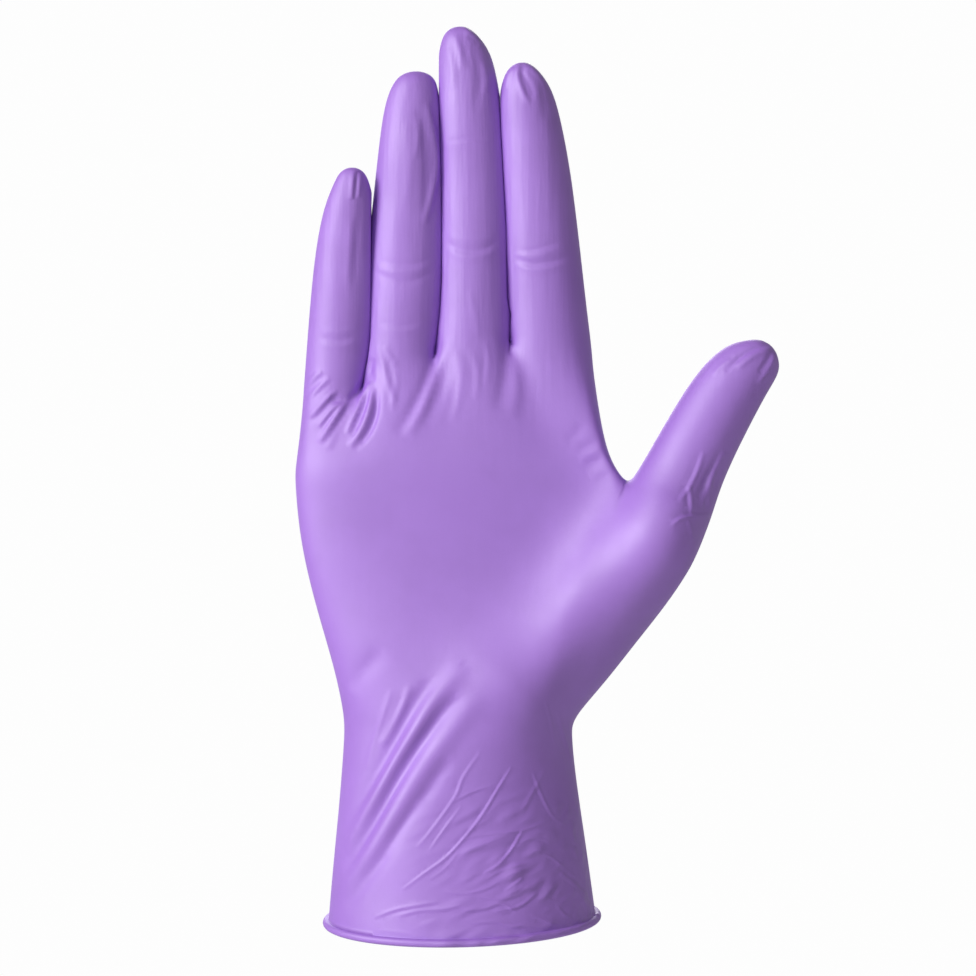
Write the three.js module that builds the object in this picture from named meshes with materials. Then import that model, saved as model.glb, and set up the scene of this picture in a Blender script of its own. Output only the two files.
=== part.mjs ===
// A thin examination glove in the form that it keeps when it is worn: four fingers together and upright,
// the thumb held out, the palm towards -Y. It is one dipped film with a rolled bead round the cuff.
// Millimetres, +Z up, with the origin at the middle of the opening that the hand goes into.
import * as THREE from "three";

// The film and its rolled edge.
const FILM_WALL = 1.1;
const BEAD_DIAMETER = 2.6;
const BEAD_STANDS_OUT = 1.7;

// The sizes that the others are shares of: the glove's length, and the palm's breadth and thickness.
const GLOVE_LENGTH = 240;
const PALM_BREADTH = 88;
const PALM_THICKNESS = 31;

// The cuff and the wrist. The cuff's edge leans by two angles, in degrees: up to +X and down to the palm
// side. The wrist's middle is a little towards -X from the cuff's.
const CUFF_WIDTH = 0.807 * PALM_BREADTH;
const CUFF_DEPTH = 1.61 * PALM_THICKNESS;
const CUFF_LEAN_SIDE = 1.4;
const CUFF_LEAN_FRONT = 6.5;
const WRIST_HEIGHT = 0.2 * GLOVE_LENGTH;
const WRIST_WIDTH = 0.688 * PALM_BREADTH;
const WRIST_FRONT = 0.606 * PALM_THICKNESS;
const WRIST_BACK = 0.66 * PALM_THICKNESS;
const WRIST_ASIDE = 0.0124 * PALM_BREADTH;

// The root of the thumb, and the height of the crotch beside it.
const THUMB_CROTCH_HEIGHT = 0.475 * GLOVE_LENGTH;
const THUMB_ROOT_WIDTH = 0.278 * PALM_BREADTH;
const THUMB_ROOT_DEPTH = 0.8 * PALM_THICKNESS;
const THUMB_ROOT_FORWARD = 0.323 * PALM_THICKNESS;

// The thumb from its root to its tip. It and its root lean out by degrees, and its tip comes forward.
const THUMB_LENGTH = 0.221 * GLOVE_LENGTH;
const THUMB_WIDTH = 0.239 * PALM_BREADTH;
const THUMB_DEPTH = 0.645 * PALM_THICKNESS;
const THUMB_LEAN = 30;
const THUMB_ROOT_LEAN = 38;
const THUMB_TIP_FORWARD = 0.548 * PALM_THICKNESS;

// How far the middle of the fingers is from the middle of the cuff.
const FINGERS_OFFSET = -0.042 * PALM_BREADTH;

// The fingers from -X to +X. A finger's length is from the middle of its root to its tip, as a share of
// the glove's. Its width is a share of the palm's breadth, its depth and how far its tip comes forward of
// the palm's thickness. The rows give its two outlines, as shares of half its width from its middle.
const FINGERS = [
  {
    width: 0.1795,
    depth: 0.5,
    length: 0.2583,
    forward: 0.16,
    rows: [
      { along: 0.05, left: -0.98, right: 0.96 },
      { along: 0.2, left: -0.9, right: 1.26 },
      { along: 0.42, left: -0.76, right: 1.32 },
      { along: 0.64, left: -0.56, right: 1.34 },
      { along: 0.81, left: -0.29, right: 1.35 },
      { along: 0.92, left: 0.03, right: 1.31 },
      { along: 0.985, left: 0.24, right: 1.15 },
    ],
  },
  {
    width: 0.217,
    depth: 0.565,
    length: 0.34,
    forward: 0.08,
    rows: [
      { along: 0.05, left: -0.85, right: 1.0 },
      { along: 0.2, left: -0.73, right: 1.17 },
      { along: 0.42, left: -0.72, right: 1.21 },
      { along: 0.64, left: -0.6, right: 1.18 },
      { along: 0.81, left: -0.47, right: 1.13 },
      { along: 0.92, left: -0.32, right: 1.14 },
      { along: 0.985, left: -0.06, right: 1.05 },
    ],
  },
  {
    width: 0.2261,
    depth: 0.58,
    length: 0.3655,
    forward: 0.05,
    rows: [
      { along: 0.05, left: -0.85, right: 0.95 },
      { along: 0.2, left: -0.8, right: 0.93 },
      { along: 0.42, left: -0.79, right: 0.89 },
      { along: 0.64, left: -0.83, right: 0.8 },
      { along: 0.81, left: -0.88, right: 0.66 },
      { along: 0.92, left: -0.9, right: 0.53 },
      { along: 0.985, left: -0.76, right: 0.12 },
    ],
  },
  {
    width: 0.2545,
    depth: 0.58,
    length: 0.331,
    forward: 0.1,
    rows: [
      { along: 0.05, left: -0.93, right: 0.98 },
      { along: 0.2, left: -1.02, right: 0.85 },
      { along: 0.42, left: -1.07, right: 0.67 },
      { along: 0.64, left: -1.14, right: 0.47 },
      { along: 0.81, left: -1.19, right: 0.21 },
      { along: 0.92, left: -1.22, right: 0.01 },
      { along: 0.985, left: -1.07, right: -0.3 },
    ],
  },
];

// The heights of the fingers' roots on their sides, from -X to +X, as shares of the glove's length: the
// outer side, three crotches, the outer side.
const ROOT_HEIGHTS = [0.5625, 0.579, 0.617, 0.629, 0.604];

// How deep a finger and the thumb are along their length, as shares of their named depth.
const DEPTH_ALONG = [
  { along: 0, share: 1 },
  { along: 0.5, share: 0.95 },
  { along: 0.75, share: 0.86 },
  { along: 0.9, share: 0.66 },
  { along: 1, share: 0.3 },
];

// How much lower the sides of a tip's last row are than its middle, as a share of the finger's width, and
// where along the finger that starts.
const TIP_CROWN = 0.13;
const CROWN_STARTS = 0.8;

// The thumb's outlines across its own line, as shares of its width.
const THUMB_ROWS = [
  { along: 0.1, left: -0.55, right: 0.54 },
  { along: 0.25, left: -0.555, right: 0.46 },
  { along: 0.42, left: -0.555, right: 0.41 },
  { along: 0.6, left: -0.55, right: 0.38 },
  { along: 0.77, left: -0.49, right: 0.36 },
  { along: 0.91, left: -0.36, right: 0.37 },
  { along: 0.985, left: -0.19, right: 0.26 },
];

// The cuff's rows up to the wrist: the height as a share of the wrist's, and how much of the cuff's flare
// is left to the sides and the back, and on the palm's side.
const CUFF_ROWS = [
  { up: 0, flare: 1, frontFlare: 1 },
  { up: 0.2, flare: 0.8, frontFlare: 0.86 },
  { up: 0.41, flare: 0.57, frontFlare: 0.7 },
  { up: 0.62, flare: 0.33, frontFlare: 0.52 },
  { up: 0.82, flare: 0.13, frontFlare: 0.25 },
  { up: 1, flare: 0, frontFlare: 0 },
];

// The palm's rows above the wrist, up to the thumb's crotch. Up is a share of that way, left and right are
// shares of the palm's breadth, front and back of its thickness, and drop of the thumb root's width: how
// much lower the row's thumb side is. Parted is how far the thumb's root has become a form of its own, and
// rootForward is how much of the way it stands forward. webFront and webBack are how far the film stands
// out between it and the palm, as shares of the thickness.
const PALM_ROWS = [
  { up: 0.11, left: -0.362, right: 0.352, front: 0.56, back: 0.64, drop: 0.06,
    parted: 0.25, rootForward: 0, webFront: 0.52, webBack: 0.45 },
  { up: 0.28, left: -0.39, right: 0.44, front: 0.506, back: 0.59, drop: 0.17,
    parted: 0.6, rootForward: 0.1, webFront: 0.47, webBack: 0.4 },
  { up: 0.5, left: -0.44, right: 0.53, front: 0.452, back: 0.54, drop: 0.33,
    parted: 0.8, rootForward: 0.4, webFront: 0.5, webBack: 0.36 },
  { up: 0.76, left: -0.49, right: 0.642, front: 0.413, back: 0.49, drop: 0.5,
    parted: 0.9, rootForward: 0.8, webFront: 0.565, webBack: 0.16 },
  { up: 1, left: -0.506, right: 0.716, front: 0.435, back: 0.47, drop: 0.61,
    parted: 1, rootForward: 1, webFront: 0.42, webBack: 0 },
];

// The rows between the thumb's crotch and the fingers' roots: left and right are shares of the palm's
// breadth.
const KNUCKLE_ROWS = [
  { up: 0.2, left: -0.505, right: 0.446 },
  { up: 0.5, left: -0.494, right: 0.42 },
];

// The swell of the thumb's muscle inside the film. It runs between two places: x is a share of the palm's
// breadth and z of the thumb crotch's height. Reach and rise are shares of the palm's thickness, and side
// says which face of the glove it is on: -1 is the palm's.
const SWELLS = [
  { x0: 0.568, z0: 0.86, x1: 0.16, z1: 0.544, side: -1, reach: 0.484, rise: 0.226 },
];

// The long slanting folds of the film: a broad ridge across the wrist between two valleys, and a fold at
// the root of the first finger. The columns are as for the swells, and a fold dies away towards its ends.
const FOLDS = [
  { x0: -0.14, z0: 0.58, x1: -0.38, z1: 0.26, side: -1, reach: 0.15, rise: -0.04 },
  { x0: 0.03, z0: 0.62, x1: -0.34, z1: 0.16, side: -1, reach: 0.17, rise: 0.06 },
  { x0: 0.03, z0: 0.46, x1: -0.28, z1: 0.06, side: -1, reach: 0.15, rise: -0.045 },
  { x0: -0.28, z0: 1.28, x1: -0.46, z1: 1.06, side: -1, reach: 0.15, rise: -0.035 },
];

// Columns of the net over one finger and over the thumb's root, on the front and again on the back.
const FINGER_COLUMNS = 3;
const PALM_COLUMNS = FINGERS.length * FINGER_COLUMNS;
const TRUNK_COLUMNS = PALM_COLUMNS + FINGER_COLUMNS;
const BEAD_STEPS = 5;
// The film stays even where it turns, but in a crotch it grows no thicker than its wall divided by this.
const SHARPEST_TURN = 0.45;
// How square the palm's section is: 1 is an ellipse.
const PALM_SQUARENESS = 0.62;
// How thick the film is between two fingers' roots, as a share of a finger's depth.
const CROTCH_FULLNESS = 0.68;

const mix = THREE.MathUtils.lerp;

// A net of four-sided faces over the outside of the film, open at the cuff.
const net = { points: [], faces: [] };

function addPoint(x, y, z) {
  net.points.push(new THREE.Vector3(x, y, z));
  return net.points.length - 1;
}

// A ring round the glove or a finger is a front row and a back row of points, both from -X to +X.
function addRing(places) {
  return {
    front: places.map((p) => addPoint(p.x, p.front, p.z)),
    back: places.map((p) => addPoint(p.x, p.back, p.z)),
  };
}

function partOfRing(ring, first, last) {
  return {
    front: ring.front.slice(first, last + 1),
    back: ring.back.slice(first, last + 1),
  };
}

// Joins two rings by faces on the front, the back and the two sides.
function joinRings({ front: f, back: b }, { front: F, back: B }) {
  const last = f.length - 1;
  for (let k = 0; k < last; k++) {
    net.faces.push([f[k], f[k + 1], F[k + 1], F[k]]);
    net.faces.push([b[k + 1], b[k], B[k], B[k + 1]]);
  }
  net.faces.push([b[0], f[0], F[0], B[0]]);
  net.faces.push([f[last], b[last], B[last], F[last]]);
}

function closeRing({ front: f, back: b }) {
  for (let k = 0; k < f.length - 1; k++)
    net.faces.push([f[k], f[k + 1], b[k + 1], b[k]]);
}

// The places of a rounded section's columns, from one side to the other: across runs from 0 to 1 and bulge
// is the share of the depth there.
function column(k, columns, squareness = 1) {
  const angle = (Math.PI * (k + 0.5)) / (columns + 1);
  return {
    across: (1 - Math.cos(angle)) / 2,
    bulge: Math.pow(Math.sin(angle), squareness),
  };
}

// A finger's section has few sides, so its sides stand at the outlines and its front and back at its depth.
function fingerColumn(k) {
  const { across, bulge } = column(k, FINGER_COLUMNS);
  const end = column(0, FINGER_COLUMNS).across;
  return {
    across: (across - end) / (1 - 2 * end),
    bulge: bulge / (1 - 2 * end),
  };
}

function shareAlong(table, along) {
  const next = Math.max(
    1,
    table.findIndex((row) => row.along >= along),
  );
  const a = table[next - 1];
  const b = table[next];
  return mix(a.share, b.share, (along - a.along) / (b.along - a.along));
}

// How far a place in a finger's row is below the row's middle, so that the tip is round.
function crownDrop(along, across, width) {
  const aside = 2 * across - 1;
  return TIP_CROWN * width * THREE.MathUtils.smoothstep(along, CROWN_STARTS, 1) * aside * aside;
}

// The sections of the trunk, from the cuff's edge to the thumb's crotch.
function trunkRows() {
  const cuff = CUFF_ROWS.map(({ up, flare, frontFlare }) => {
    const width = mix(WRIST_WIDTH, CUFF_WIDTH, flare);
    const aside = WRIST_ASIDE * (1 - flare);
    return {
      z: up * WRIST_HEIGHT,
      left: -width / 2 - aside,
      right: width / 2 - aside,
      front: mix(WRIST_FRONT, CUFF_DEPTH / 2, frontFlare),
      back: mix(WRIST_BACK, CUFF_DEPTH / 2, flare),
      drop: 0,
      parted: 0,
      rootForward: 0,
      webFront: 0,
      webBack: 0,
    };
  });
  const palm = PALM_ROWS.map((row) => ({
    z: mix(WRIST_HEIGHT, THUMB_CROTCH_HEIGHT, row.up),
    left: row.left * PALM_BREADTH,
    right: row.right * PALM_BREADTH,
    front: row.front * PALM_THICKNESS,
    back: row.back * PALM_THICKNESS,
    drop: row.drop * THUMB_ROOT_WIDTH,
    parted: row.parted,
    rootForward: row.rootForward * THUMB_ROOT_FORWARD,
    webFront: row.webFront * PALM_THICKNESS,
    webBack: row.webBack * PALM_THICKNESS,
  }));
  return [...cuff, ...palm];
}

// One column of a trunk section: a plain oval low down, and near the thumb's crotch a palm with the thumb
// beside it.
function trunkPlace(row, k) {
  const oval = column(k, TRUNK_COLUMNS);
  const crotchX = row.right - thumbRootReach();
  const onPalm = k <= PALM_COLUMNS;
  const parted = onPalm
    ? column(k, PALM_COLUMNS, PALM_SQUARENESS)
    : column(k - PALM_COLUMNS, FINGER_COLUMNS);
  const from = onPalm ? row.left : crotchX;
  const to = onPalm ? crotchX : row.right;
  const middle = onPalm ? 0 : -row.rootForward;
  const front = onPalm ? row.front : THUMB_ROOT_DEPTH / 2;
  const back = onPalm ? row.back : THUMB_ROOT_DEPTH / 2;
  const outward = Math.max(0, k - PALM_COLUMNS) / FINGER_COLUMNS;
  const nearWeb = THREE.MathUtils.smoothstep(k, PALM_COLUMNS - FINGER_COLUMNS - 1, PALM_COLUMNS);
  const atWeb = onPalm ? nearWeb : 0;
  return {
    x: mix(
      mix(row.left, row.right, oval.across),
      mix(from, to, parted.across),
      row.parted,
    ),
    front: mix(
      -row.front * oval.bulge,
      mix(middle - front * parted.bulge, -row.webFront, atWeb),
      row.parted,
    ),
    back: mix(
      row.back * oval.bulge,
      mix(middle + back * parted.bulge, row.webBack, atWeb),
      row.parted,
    ),
    z: row.z - row.drop * outward,
  };
}

function thumbRootReach() {
  return THUMB_ROOT_WIDTH * Math.cos(THREE.MathUtils.degToRad(THUMB_ROOT_LEAN));
}

function buildTrunk() {
  const leanSide = Math.tan(THREE.MathUtils.degToRad(CUFF_LEAN_SIDE));
  const leanFront = Math.tan(THREE.MathUtils.degToRad(CUFF_LEAN_FRONT));
  const rings = trunkRows().map((row) => {
    const ring = addRing(
      Array.from({ length: TRUNK_COLUMNS + 1 }, (_, k) => trunkPlace(row, k)),
    );
    const lean = Math.max(0, 1 - row.z / WRIST_HEIGHT);
    for (const i of [...ring.front, ...ring.back]) {
      const p = net.points[i];
      p.z += lean * (p.x * leanSide + p.y * leanFront);
    }
    return ring;
  });
  rings.slice(1).forEach((ring, i) => joinRings(rings[i], ring));
  return rings.at(-1);
}

// The x of the sides of the fingers' roots, from the outer side of the first finger to that of the last.
function rootSides() {
  const total = FINGERS.reduce((sum, finger) => sum + finger.width, 0);
  const sides = [FINGERS_OFFSET - (total / 2) * PALM_BREADTH];
  for (const finger of FINGERS) sides.push(sides.at(-1) + finger.width * PALM_BREADTH);
  return sides;
}

// The height of a finger's root, from 0 at its -X side to 1 at its +X side.
function rootHeight(i, across) {
  return mix(ROOT_HEIGHTS[i], ROOT_HEIGHTS[i + 1], across) * GLOVE_LENGTH;
}

// The ring through the fingers' roots: each finger's columns, with one column of points in each crotch.
function knucklePlaces() {
  const sides = rootSides();
  return Array.from({ length: PALM_COLUMNS + 1 }, (_, k) => {
    const i = Math.min(Math.floor(k / FINGER_COLUMNS), FINGERS.length - 1);
    const { across, bulge } = fingerColumn(k - i * FINGER_COLUMNS);
    const half = (FINGERS[i].depth * PALM_THICKNESS) / 2;
    return {
      x: mix(sides[i], sides[i + 1], across),
      front: -half * Math.max(bulge, CROTCH_FULLNESS),
      back: half * Math.max(bulge, CROTCH_FULLNESS),
      z: rootHeight(i, across),
    };
  });
}

function buildKnuckles(crotchRing) {
  const palm = partOfRing(crotchRing, 0, PALM_COLUMNS);
  const places = knucklePlaces();
  let below = palm;
  for (const row of KNUCKLE_ROWS) {
    const left = row.left * PALM_BREADTH;
    const right = row.right * PALM_BREADTH;
    const ring = addRing(
      places.map((place, k) => {
        const f = net.points[palm.front[k]];
        const b = net.points[palm.back[k]];
        const even = column(k, PALM_COLUMNS, PALM_SQUARENESS).across;
        const low = places[0].x;
        const own = (place.x - low) / (places.at(-1).x - low);
        return {
          x: mix(left, right, mix(even, own, row.up)),
          front: mix(f.y, place.front, row.up * row.up),
          back: mix(b.y, place.back, row.up * row.up),
          z: mix(f.z, place.z, row.up),
        };
      }),
    );
    joinRings(below, ring);
    below = ring;
  }
  const knuckles = addRing(places);
  joinRings(below, knuckles);
  return knuckles;
}

function buildFinger(finger, i, knuckles) {
  const sides = rootSides();
  const middle = (sides[i] + sides[i + 1]) / 2;
  const width = finger.width * PALM_BREADTH;
  const tip = rootHeight(i, 0.5) + finger.length * GLOVE_LENGTH;
  let below = partOfRing(
    knuckles,
    i * FINGER_COLUMNS,
    (i + 1) * FINGER_COLUMNS,
  );
  for (const { along, left, right } of finger.rows) {
    const depth = finger.depth * PALM_THICKNESS * shareAlong(DEPTH_ALONG, along);
    const y = -finger.forward * PALM_THICKNESS * along * along;
    const ring = addRing(
      Array.from({ length: FINGER_COLUMNS + 1 }, (_, k) => {
        const { across, bulge } = fingerColumn(k);
        return {
          x: middle + (mix(left, right, across) * width) / 2,
          front: y - (depth / 2) * bulge,
          back: y + (depth / 2) * bulge,
          z: mix(rootHeight(i, across), tip, along) - crownDrop(along, across, width),
        };
      }),
    );
    joinRings(below, ring);
    below = ring;
  }
  closeRing(below);
}

function buildThumb(crotchRing) {
  let below = partOfRing(crotchRing, PALM_COLUMNS, TRUNK_COLUMNS);
  const ends = [below.front[0], below.front.at(-1)].map((p) => net.points[p]);
  const root = ends[0].clone().lerp(ends[1], 0.5);
  const lean = THREE.MathUtils.degToRad(THUMB_LEAN);
  for (const { along, left, right } of THUMB_ROWS) {
    const depth = THUMB_DEPTH * shareAlong(DEPTH_ALONG, along);
    const y = -mix(THUMB_ROOT_FORWARD, THUMB_TIP_FORWARD, along);
    const ring = addRing(
      Array.from({ length: FINGER_COLUMNS + 1 }, (_, k) => {
        const { across, bulge } = fingerColumn(k);
        const aside = mix(left, right, across) * THUMB_WIDTH;
        const far = along * THUMB_LENGTH - crownDrop(along, across, THUMB_WIDTH);
        return {
          x: root.x + far * Math.sin(lean) + aside * Math.cos(lean),
          front: y - (depth / 2) * bulge,
          back: y + (depth / 2) * bulge,
          z: root.z + far * Math.cos(lean) - aside * Math.sin(lean),
        };
      }),
    );
    joinRings(below, ring);
    below = ring;
  }
  closeRing(below);
}

// One round of Catmull-Clark subdivision. Points on the open edge stay on the edge's own curve.
function subdivide({ points, faces }) {
  const centres = faces.map((face) => average(face.map((i) => points[i])));
  const edges = new Map();
  const around = points.map(() => ({ centres: [], middles: [], rim: [] }));
  faces.forEach((face, f) =>
    face.forEach((a, i) => {
      const b = face[(i + 1) % face.length];
      const key = a < b ? `${a} ${b}` : `${b} ${a}`;
      if (!edges.has(key)) edges.set(key, { a, b, centres: [] });
      edges.get(key).centres.push(centres[f]);
      around[a].centres.push(centres[f]);
    }),
  );
  for (const { a, b, centres: beside } of edges.values()) {
    const middle = average([points[a], points[b]]);
    for (const i of [a, b]) {
      around[i].middles.push(middle);
      if (beside.length === 1) around[i].rim.push(middle);
    }
  }
  const moved = points.map((point, i) => {
    const { centres: near, middles, rim } = around[i];
    if (rim.length) return average([point, average(rim)]);
    const n = near.length;
    return average(near)
      .addScaledVector(average(middles), 2)
      .addScaledVector(point, n - 3)
      .divideScalar(n);
  });
  const firstCentre = moved.length;
  moved.push(...centres);
  for (const edge of edges.values()) {
    const ends = [points[edge.a], points[edge.b]];
    edge.index = moved.length;
    moved.push(average(edge.centres.length === 1 ? ends : [...ends, ...edge.centres]));
  }
  const edgeIndex = (a, b) => edges.get(a < b ? `${a} ${b}` : `${b} ${a}`).index;
  const smaller = faces.flatMap((face, f) =>
    face.map((a, i) => {
      const after = face[(i + 1) % face.length];
      const before = face[(i + face.length - 1) % face.length];
      return [a, edgeIndex(a, after), firstCentre + f, edgeIndex(before, a)];
    }),
  );
  return { points: moved, faces: smaller };
}

// Moves every point to where endless rounds of subdivision would take it.
function toLimit({ points, faces }) {
  const around = points.map(() => ({ beside: new Map(), corners: [] }));
  for (const face of faces)
    face.forEach((a, i) => {
      const { beside, corners } = around[a];
      for (const b of [face[(i + 1) % 4], face[(i + 3) % 4]]) beside.set(b, (beside.get(b) ?? 0) + 1);
      corners.push(points[face[(i + 2) % 4]]);
    });
  const limit = points.map((point, i) => {
    const { beside, corners } = around[i];
    const rim = [...beside].filter(([, uses]) => uses === 1);
    if (rim.length) {
      const ends = average(rim.map(([b]) => points[b]));
      return point.clone().lerp(ends, 1 / 3);
    }
    const n = beside.size;
    return average([...beside.keys()].map((b) => points[b]))
      .multiplyScalar(4)
      .add(average(corners))
      .addScaledVector(point, n)
      .divideScalar(n + 5);
  });
  return { points: limit, faces };
}

function average(vectors) {
  const sum = new THREE.Vector3();
  for (const v of vectors) sum.add(v);
  return sum.divideScalar(vectors.length);
}

// The average of the normals of the faces round each point. It is shorter than 1 where the film turns
// sharply.
function normalsOf({ points, faces }) {
  const around = points.map(() => []);
  for (const [a, b, c, d] of faces) {
    const across = points[c].clone().sub(points[a]);
    const other = points[d].clone().sub(points[b]);
    const normal = across.cross(other).normalize();
    for (const i of [a, b, c, d]) around[i].push(normal);
  }
  return around.map(average);
}

// How near a point is to a form's line, seen from the front: 1 on the line and 0 away from it.
function nearness(point, { x0, z0, x1, z1, reach }, fade) {
  const size = new THREE.Vector2(PALM_BREADTH, THUMB_CROTCH_HEIGHT);
  const start = new THREE.Vector2(x0, z0).multiply(size);
  const way = new THREE.Vector2(x1, z1).multiply(size).sub(start);
  const from = new THREE.Vector2(point.x, point.z).sub(start);
  const share = THREE.MathUtils.clamp(from.dot(way) / way.lengthSq(), 0, 1);
  const off = from.addScaledVector(way, -share).length() / (reach * PALM_THICKNESS);
  const ends = fade ? Math.sqrt(4 * share * (1 - share)) : 1;
  return Math.exp(-off * off) * ends;
}

// Raises the swells and the folds out of the smooth film, each on its own side.
function shapeFilm(surface) {
  const normals = normalsOf(surface);
  surface.points.forEach((point, i) => {
    const out = normals[i].normalize();
    const riseOf = (form, fade) =>
      form.rise *
      PALM_THICKNESS *
      nearness(point, form, fade) *
      Math.max(0, form.side * out.y);
    let rise = 0;
    for (const swell of SWELLS) rise += riseOf(swell, false);
    for (const fold of FOLDS) rise += riseOf(fold, true);
    point.addScaledVector(out, rise);
  });
}

// The points of the open edge, in order round the cuff.
function rimOf({ faces }) {
  const sides = new Set();
  for (const face of faces)
    face.forEach((a, i) => sides.add(`${a} ${face[(i + 1) % face.length]}`));
  const next = new Map();
  for (const side of sides) {
    const [a, b] = side.split(" ").map(Number);
    if (!sides.has(`${b} ${a}`)) next.set(a, b);
  }
  const [first] = next.keys();
  const rim = [first];
  while (next.get(rim.at(-1)) !== first) rim.push(next.get(rim.at(-1)));
  return rim;
}

// Gives the film its inside and rolls the bead round its edge.
function thicken({ points, faces }) {
  const normals = normalsOf({ points, faces });
  const count = points.length;
  const inside = points.map((point, i) => {
    const wall = FILM_WALL / Math.max(normals[i].length(), SHARPEST_TURN);
    return point.clone().addScaledVector(normals[i].normalize(), -wall);
  });
  const all = [...points, ...inside];
  const skin = [...faces, ...faces.map((face) => face.map((i) => i + count).reverse())];
  const rim = rimOf({ faces });
  const radius = BEAD_DIAMETER / 2;
  const outward = BEAD_STANDS_OUT - radius;
  const downward = Math.sqrt(radius * radius - outward * outward);
  const start = Math.atan2(-downward, -outward);
  let above = rim;
  for (let step = 1; step <= BEAD_STEPS; step++) {
    const angle = mix(start, Math.PI, step / BEAD_STEPS);
    const row = rim.map((i, r) => {
      const along = points[rim[(r + 1) % rim.length]].clone().sub(points[rim.at(r - 1)]);
      const down = along.cross(normals[i]).normalize();
      const place = points[i]
        .clone()
        .addScaledVector(normals[i], outward + radius * Math.cos(angle))
        .addScaledVector(down, downward + radius * Math.sin(angle));
      all.push(place);
      return all.length - 1;
    });
    addBand(skin, above, row);
    above = row;
  }
  addBand(
    skin,
    above,
    rim.map((i) => i + count),
  );
  return { points: all, faces: skin };
}

// Faces between one closed row of points and the next one round the glove.
function addBand(faces, above, below) {
  above.forEach((a, i) => {
    const j = (i + 1) % above.length;
    faces.push([above[j], a, below[i], below[j]]);
  });
}

function toMesh({ points, faces }, name) {
  const geometry = new THREE.BufferGeometry();
  geometry.setAttribute(
    "position",
    new THREE.Float32BufferAttribute(
      points.flatMap((p) => p.toArray()),
      3,
    ),
  );
  geometry.setIndex(faces.flatMap(([a, b, c, d]) => [a, b, c, a, c, d]));
  geometry.computeVertexNormals();
  const nitrile = new THREE.MeshStandardMaterial({ color: 0xa084cc, roughness: 0.5, metalness: 0 });
  const mesh = new THREE.Mesh(geometry, nitrile);
  mesh.name = name;
  return mesh;
}

const crotchRing = buildTrunk();
const knuckles = buildKnuckles(crotchRing);
FINGERS.forEach((finger, i) => buildFinger(finger, i, knuckles));
buildThumb(crotchRing);

const film = toLimit(subdivide(net));
shapeFilm(film);

const nitrile_exam_glove = new THREE.Group();
nitrile_exam_glove.name = "nitrile_exam_glove";
nitrile_exam_glove.add(toMesh(thicken(film), "glove"));

export default nitrile_exam_glove;
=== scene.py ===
import math

import bpy
import numpy as np
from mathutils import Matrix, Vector


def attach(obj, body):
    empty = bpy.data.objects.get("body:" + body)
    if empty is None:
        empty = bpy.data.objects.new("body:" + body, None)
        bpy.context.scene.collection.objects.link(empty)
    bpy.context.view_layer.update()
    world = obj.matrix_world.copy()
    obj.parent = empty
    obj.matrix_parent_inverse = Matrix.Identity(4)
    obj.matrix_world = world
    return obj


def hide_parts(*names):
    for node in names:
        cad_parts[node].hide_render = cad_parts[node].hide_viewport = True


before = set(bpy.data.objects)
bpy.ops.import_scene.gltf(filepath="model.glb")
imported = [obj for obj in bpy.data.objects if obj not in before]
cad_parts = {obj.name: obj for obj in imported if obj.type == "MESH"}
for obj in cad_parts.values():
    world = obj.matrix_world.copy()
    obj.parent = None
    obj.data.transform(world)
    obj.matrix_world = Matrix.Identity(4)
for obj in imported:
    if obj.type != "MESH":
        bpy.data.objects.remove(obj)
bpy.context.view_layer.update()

MM = 0.001

# The camera stands this far in front of the glove's middle plane, level with this place on it, and
# sees this width of it. Its sensor is as wide as given.
CAMERA_DISTANCE = 800.0
CAMERA_X = 6.9
CAMERA_Z = 113.1
VIEW_WIDTH = 258.64
SENSOR_WIDTH = 36

# How many faces of the net lie side by side on a finger, the palm, and the palm with the thumb's root
FINGER_COLUMNS = 3
PALM_COLUMNS = 12
TRUNK_COLUMNS = PALM_COLUMNS + FINGER_COLUMNS
# Marks of the faces of the thumb and of the rest of the hand. The fingers are marked 0 to 3.
THUMB = 4
TRUNK = 5

# The cuff and palm, from the cuff's edge to the thumb's crotch. Drop is how much lower the row's thumb
# side is, and parted is how far the thumb's root is a form of its own, from 0 to 1. Web is how far the
# film between that root and the palm stands from the middle plane, and root forward is how far the
# root stands in front of it.
TRUNK_ROWS = [
    # z, left, right, front, back, drop, parted, web front, web back, root forward
    (0.0, -35.5, 35.5, 25.0, 25.0, 0, 0, 0, 0, 0),
    (9.6, -34.7, 34.2, 24.1, 24.1, 0, 0, 0, 0, 0),
    (19.7, -33.7, 32.8, 23.1, 23.1, 0, 0, 0, 0, 0),
    (29.8, -32.7, 31.3, 22.0, 22.0, 0, 0, 0, 0, 0),
    (39.4, -31.9, 30.0, 20.3, 21.1, 0, 0, 0, 0, 0),
    (48.0, -31.3, 29.2, 18.8, 20.5, 0, 0, 0, 0, 0),
    (51.6, -31.4, 29.4, 18.1, 20.2, 0.7, 0.1, 17.0, 14.0, 0),
    (56.2, -32.0, 31.6, 17.3, 19.6, 1.7, 0.3, 16.0, 14.0, 0),
    (66.5, -34.3, 38.7, 15.7, 18.3, 4.2, 0.6, 14.5, 12.4, 1.0),
    (81.0, -38.8, 46.6, 14.0, 16.7, 8.1, 0.8, 15.5, 11.2, 4.0),
    (98.2, -43.2, 56.5, 12.8, 15.2, 12.2, 0.9, 17.5, 5.0, 8.0),
    (114.0, -44.6, 63.0, 13.5, 14.6, 14.9, 1.0, 13.0, 0.0, 10.0),
]
# The palm's section is an oval at 1, and more square below that
PALM_SQUARENESS = 0.62
# The thumb's root in those rows: its width, by how many degrees it leans further than the thumb, and
# half its depth
ROOT_WIDTH = 24.5
ROOT_TURN = 8
ROOT_HALF_DEPTH = 12.4
# The column of the palm where the film starts to turn into the web beside that root
WEB_START = 8

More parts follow.
